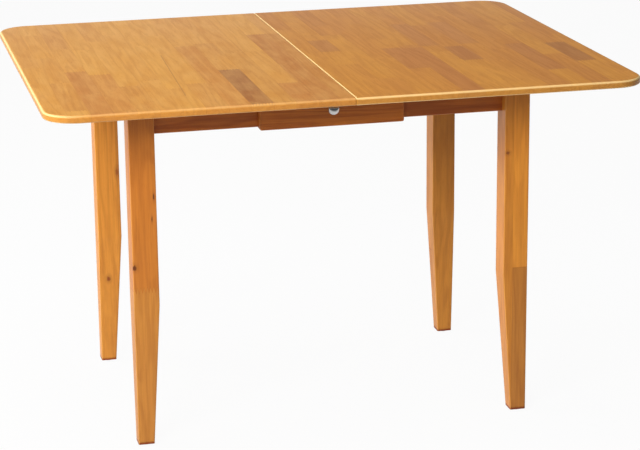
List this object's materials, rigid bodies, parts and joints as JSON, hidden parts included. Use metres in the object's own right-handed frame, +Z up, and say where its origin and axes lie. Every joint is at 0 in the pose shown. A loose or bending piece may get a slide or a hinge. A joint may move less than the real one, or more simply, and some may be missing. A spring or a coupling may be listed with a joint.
{
  "type": "butterfly leaf table",
  "caption": "Extending dining table with a split top, a folded butterfly leaf stored below it, tapered legs and a shallow drawer with a round knob.",
  "frame": {"origin": "on the floor, under the middle of the closed top", "axes": "+X along the table's length, +Y from the drawer side to the far side, +Z up"},
  "size_m": [1.2, 0.96, 0.75],
  "materials": {
    "lacquered_top": "edge-glued finger-jointed rubberwood staves, honey stain, satin lacquer",
    "leg_wood": "finger-jointed knotty softwood, honey stain, satin lacquer",
    "apron_wood": "honey stained wood, satin lacquer",
    "plain_wood": "planed wood, clear sealed",
    "plywood": "thin plywood, clear sealed",
    "chrome": "polished chrome plate",
    "aluminium_track": "mill finish extrusion",
    "zinc_steel": "zinc plated steel",
    "nylon": "natural nylon"
  },
  "bodies": {
    "frame": {"apron_far": "apron_wood", "apron_left": "apron_wood", "apron_near": "apron_wood", "apron_right": "apron_wood", "brace_screws": "zinc_steel", "corner_brace_far_left": "plain_wood", "corner_brace_far_right": "plain_wood", "corner_brace_near_left": "plain_wood", "corner_brace_near_right": "plain_wood", "cross_rail_left": "plain_wood", "cross_rail_right": "plain_wood", "drawer_strip_left": "plain_wood", "drawer_strip_right": "plain_wood", "drawer_strip_screws": "zinc_steel", "foot_glides": "nylon", "hanger_bolts": "zinc_steel", "hanger_nuts": "zinc_steel", "hanger_washers": "zinc_steel", "leaf_hinge_arms": "zinc_steel", "leaf_hinge_links": "zinc_steel", "leaf_hinge_pins": "zinc_steel", "leaf_pegs": "plain_wood", "leaf_wing_lower": "lacquered_top", "leaf_wing_upper": "lacquered_top", "leg_far_left": "leg_wood", "leg_far_right": "leg_wood", "leg_near_left": "leg_wood", "leg_near_right": "leg_wood", "slide_track_far": "aluminium_track", "slide_track_near": "aluminium_track", "top_glides": "nylon"},
    "left_half": {"top_left": "lacquered_top", "seam_pegs": "plain_wood", "slide_runner_left_near": "aluminium_track", "slide_runner_left_far": "aluminium_track", "slide_runner_screws_left": "zinc_steel", "catch_plates_left": "zinc_steel", "catch_screws_left": "zinc_steel", "catch_pivots": "zinc_steel"},
    "right_half": {"top_right": "lacquered_top", "slide_runner_right_near": "aluminium_track", "slide_runner_right_far": "aluminium_track", "slide_runner_screws_right": "zinc_steel", "catch_plates_right": "zinc_steel", "catch_screws_right": "zinc_steel", "catch_keepers": "zinc_steel"},
    "drawer": {"drawer_back": "plain_wood", "drawer_bottom": "plywood", "drawer_box_front": "plain_wood", "drawer_front": "apron_wood", "drawer_front_screws": "zinc_steel", "drawer_knob": "chrome", "drawer_knob_bolt": "zinc_steel", "drawer_side_left": "plain_wood", "drawer_side_right": "plain_wood", "drawer_stops": "plain_wood"},
    "near_catch": {"catch_lever_near": "zinc_steel"},
    "far_catch": {"catch_lever_far": "zinc_steel"}
  },
  "joints": [
    {"name": "left_half_slide", "type": "slide", "parent": "frame", "child": "left_half", "axis": [-1, 0, 0], "range_m": [0, 0.15]},
    {"name": "right_half_slide", "type": "slide", "parent": "frame", "child": "right_half", "axis": [1, 0, 0], "range_m": [0, 0.15]},
    {"name": "drawer_slide", "type": "slide", "parent": "frame", "child": "drawer", "axis": [0, -1, 0], "range_m": [0, 0.3]},
    {"name": "near_catch_turn", "type": "hinge", "parent": "left_half", "child": "near_catch", "pos_m": [-0.03, -0.35, 0.732], "axis": [0, 0, 1], "range_deg": [0, 90]},
    {"name": "far_catch_turn", "type": "hinge", "parent": "left_half", "child": "far_catch", "pos_m": [-0.03, 0.35, 0.732], "axis": [0, 0, -1], "range_deg": [0, 90]}
  ]
}
